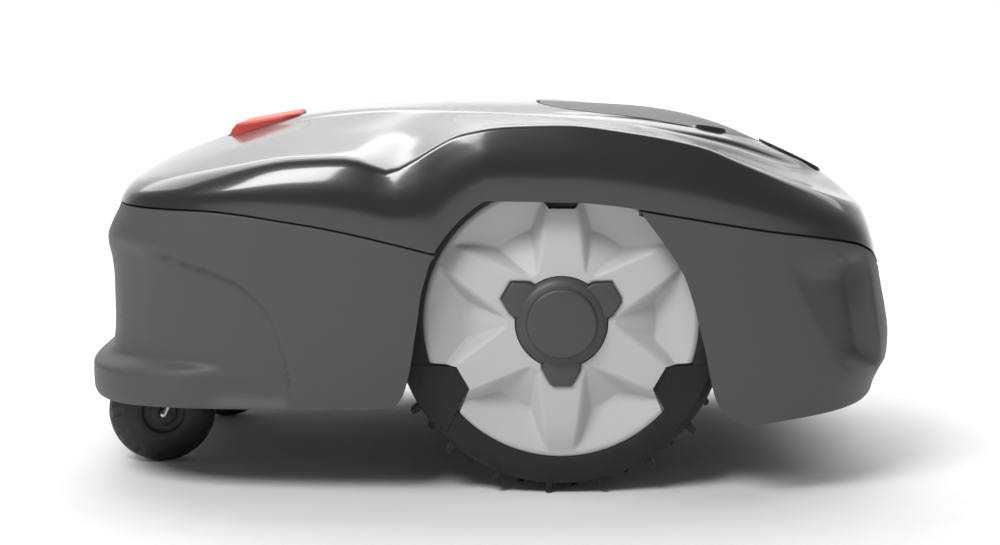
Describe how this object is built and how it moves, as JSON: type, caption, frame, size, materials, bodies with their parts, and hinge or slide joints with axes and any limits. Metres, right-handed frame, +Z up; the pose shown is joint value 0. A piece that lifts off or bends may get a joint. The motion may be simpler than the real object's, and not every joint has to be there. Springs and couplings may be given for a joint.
{
  "type": "robotic lawn mower",
  "caption": "Robotic lawn mower with a floating body, large driven wheels, trailing casters, a hinged hatch, a stop button and a height-adjustable pivoting-blade cutter.",
  "frame": {"origin": "on the ground, under the middle of the body", "axes": "+X forward, +Y to the mower's left, +Z up"},
  "size_m": [0.55, 0.39, 0.2496],
  "materials": {
    "cover": "glossy",
    "skirt": "matte",
    "hatch": "satin",
    "black_plastic": "matte",
    "stop_red": "satin",
    "steel": "satin",
    "rubber": "matte",
    "battery": "satin",
    "board": "satin",
    "motor": "satin",
    "bush": "satin",
    "contact": "satin",
    "panel": "satin",
    "lens": "glossy",
    "key": "satin",
    "knob": "satin",
    "disc": "satin",
    "blade": "polished",
    "tyre": "matte",
    "hub": "satin",
    "cap": "satin",
    "caster": "satin"
  },
  "bodies": {
    "chassis": {"chassis_lower": "black_plastic", "chassis_upper": "black_plastic", "chassis_seal": "rubber", "chassis_screws": "steel", "battery": "battery", "board_standoffs": "steel", "main_board": "board", "drive_motor_right": "motor", "drive_motor_left": "motor", "motor_screws": "steel", "caster_bushes": "bush", "charge_contacts": "contact", "control_panel": "panel", "display_lens": "lens", "keypad_board": "board", "switch_housing": "black_plastic"},
    "suspension": {"suspension_posts": "rubber"},
    "cover": {"top_cover": "cover", "rear_skirt": "skirt", "front_skirt": "skirt", "hatch_hinge": "black_plastic", "hatch_pin": "steel", "nose_plate": "black_plastic", "stop_housing": "black_plastic", "stop_spring": "steel", "suspension_cups": "black_plastic"},
    "hatch": {"hatch": "hatch"},
    "stop": {"stop_button": "stop_red"},
    "key_back": {"key_back": "key"},
    "key_down": {"key_down": "key"},
    "key_up": {"key_up": "key"},
    "key_ok": {"key_ok": "key"},
    "rocker": {"switch_rocker": "stop_red"},
    "knob": {"height_knob": "knob", "height_spindle": "steel"},
    "carriage": {"cutter_carriage": "black_plastic", "cutting_motor": "motor"},
    "disc": {"blade_disc": "disc", "disc_shaft": "steel", "disc_bolt": "steel", "blade_screws": "steel"},
    "blade_1": {"blade_1": "blade"},
    "blade_2": {"blade_2": "blade"},
    "blade_3": {"blade_3": "blade"},
    "skid": {"skid_plate": "black_plastic"},
    "wheel_right": {"tyre_right": "tyre", "hub_right": "hub", "hub_cap_right": "cap", "wheel_shaft_right": "steel"},
    "wheel_left": {"tyre_left": "tyre", "hub_left": "hub", "hub_cap_left": "cap", "wheel_shaft_left": "steel"},
    "caster_right": {"caster_rod_right": "steel", "caster_clip_right": "steel"},
    "caster_left": {"caster_rod_left": "steel", "caster_clip_left": "steel"},
    "caster_wheel_right": {"caster_wheel_right": "caster"},
    "caster_wheel_left": {"caster_wheel_left": "caster"}
  },
  "joints": [
    {"name": "bump_slide", "type": "slide", "parent": "chassis", "child": "suspension", "axis": [1, 0, 0], "range_m": [-0.008, 0.002], "stiffness_N_per_m": 2000},
    {"name": "lift_slide", "type": "slide", "parent": "suspension", "child": "cover", "axis": [0, 0, 1], "range_m": [0, 0.008]},
    {"name": "hatch_swing", "type": "hinge", "parent": "cover", "child": "hatch", "pos_m": [0.025, 0, 0.24209], "axis": [0, -1, 0], "range_deg": [0, 75]},
    {"name": "stop_press", "type": "slide", "parent": "cover", "child": "stop", "axis": [0, 0, -1], "range_m": [0, 0.004], "stiffness_N_per_m": 1500, "springref_m": -0.002, "deforming": ["stop_spring"]},
    {"name": "key_back_press", "type": "slide", "parent": "chassis", "child": "key_back", "axis": [0, 0, -1], "range_m": [0, 0.001], "stiffness_N_per_m": 800, "springref_m": -0.001},
    {"name": "key_down_press", "type": "slide", "parent": "chassis", "child": "key_down", "axis": [0, 0, -1], "range_m": [0, 0.001], "stiffness_N_per_m": 800, "springref_m": -0.001},
    {"name": "key_up_press", "type": "slide", "parent": "chassis", "child": "key_up", "axis": [0, 0, -1], "range_m": [0, 0.001], "stiffness_N_per_m": 800, "springref_m": -0.001},
    {"name": "key_ok_press", "type": "slide", "parent": "chassis", "child": "key_ok", "axis": [0, 0, -1], "range_m": [0, 0.001], "stiffness_N_per_m": 800, "springref_m": -0.001},
    {"name": "rocker_tilt", "type": "hinge", "parent": "chassis", "child": "rocker", "pos_m": [0.14515, 0, 0.085], "axis": [0, 1, 0], "range_deg": [-8, 8]},
    {"name": "knob_turn", "type": "hinge", "parent": "chassis", "child": "knob", "pos_m": [0.07, 0, 0.2083], "axis": [0, 0, 1], "range_deg": [-270, 270]},
    {"name": "carriage_lift", "type": "slide", "parent": "chassis", "child": "carriage", "axis": [0, 0, 1], "range_m": [-0.015, 0.015]},
    {"name": "disc_spin", "type": "hinge", "parent": "carriage", "child": "disc", "pos_m": [0.07, 0, 0.0373], "axis": [0, 0, 1], "continuous": true},
    {"name": "blade_1_swing", "type": "hinge", "parent": "disc", "child": "blade_1", "pos_m": [0.122, 0, 0.036], "axis": [0, 0, 1], "continuous": true},
    {"name": "blade_2_swing", "type": "hinge", "parent": "disc", "child": "blade_2", "pos_m": [0.044, 0.04503, 0.036], "axis": [0, 0, 1], "continuous": true},
    {"name": "blade_3_swing", "type": "hinge", "parent": "disc", "child": "blade_3", "pos_m": [0.044, -0.04503, 0.036], "axis": [0, 0, 1], "continuous": true},
    {"name": "skid_spin", "type": "hinge", "parent": "disc", "child": "skid", "pos_m": [0.07, 0, 0.024], "axis": [0, 0, 1], "continuous": true},
    {"name": "wheel_right_spin", "type": "hinge", "parent": "chassis", "child": "wheel_right", "pos_m": [0.046, 0, 0.115], "axis": [0, 1, 0], "continuous": true},
    {"name": "wheel_left_spin", "type": "hinge", "parent": "chassis", "child": "wheel_left", "pos_m": [0.046, 0, 0.115], "axis": [0, 1, 0], "continuous": true},
    {"name": "caster_right_swivel", "type": "hinge", "parent": "chassis", "child": "caster_right", "pos_m": [-0.21837, -0.072, 0], "axis": [0, 0, 1], "continuous": true},
    {"name": "caster_wheel_right_spin", "type": "hinge", "parent": "caster_right", "child": "caster_wheel_right", "pos_m": [-0.23109, -0.0747, 0.037], "axis": [-0.2079, 0.9781, 0], "continuous": true},
    {"name": "caster_left_swivel", "type": "hinge", "parent": "chassis", "child": "caster_left", "pos_m": [-0.21837, 0.072, 0], "axis": [0, 0, 1], "continuous": true},
    {"name": "caster_wheel_left_spin", "type": "hinge", "parent": "caster_left", "child": "caster_wheel_left", "pos_m": [-0.20659, 0.07749, 0.037], "axis": [0.4226, -0.9063, 0], "continuous": true}
  ],
  "couplings": [
    {"joint": "knob_turn", "follows": "carriage_lift", "rad_per_m": 314.16}
  ]
}
